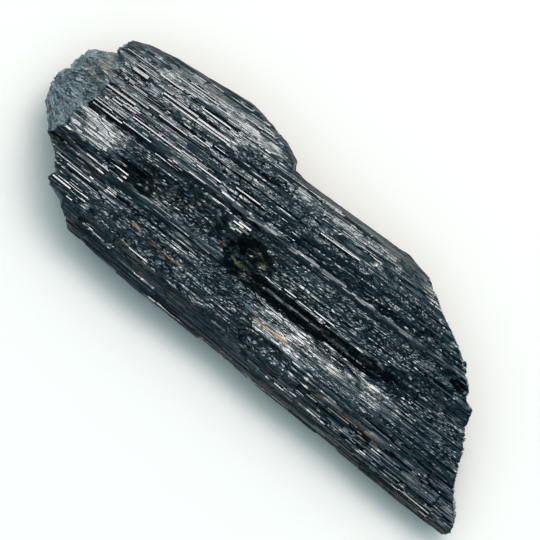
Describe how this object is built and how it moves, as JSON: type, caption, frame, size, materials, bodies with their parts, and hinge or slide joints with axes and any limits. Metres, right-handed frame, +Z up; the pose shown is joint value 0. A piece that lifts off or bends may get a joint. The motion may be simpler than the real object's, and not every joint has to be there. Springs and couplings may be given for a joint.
{
  "type": "tourmaline crystal",
  "caption": "Natural length of black tourmaline, striated along its length, with a sloping fracture at one end and an oblique break at the other.",
  "frame": {"origin": "centre of the bounding box in plan, at the height of the face it rests on", "axes": "+X along the ribs (the c axis), from the sloping fracture to the sharp oblique end; +Y towards the side with the raised lobe; +Z up from the resting face"},
  "size_m": [0.12, 0.0464, 0.0263],
  "materials": {
    "schorl": "satin"
  },
  "bodies": {
    "root": {"tourmaline_crystal": "schorl"}
  },
  "joints": []
}
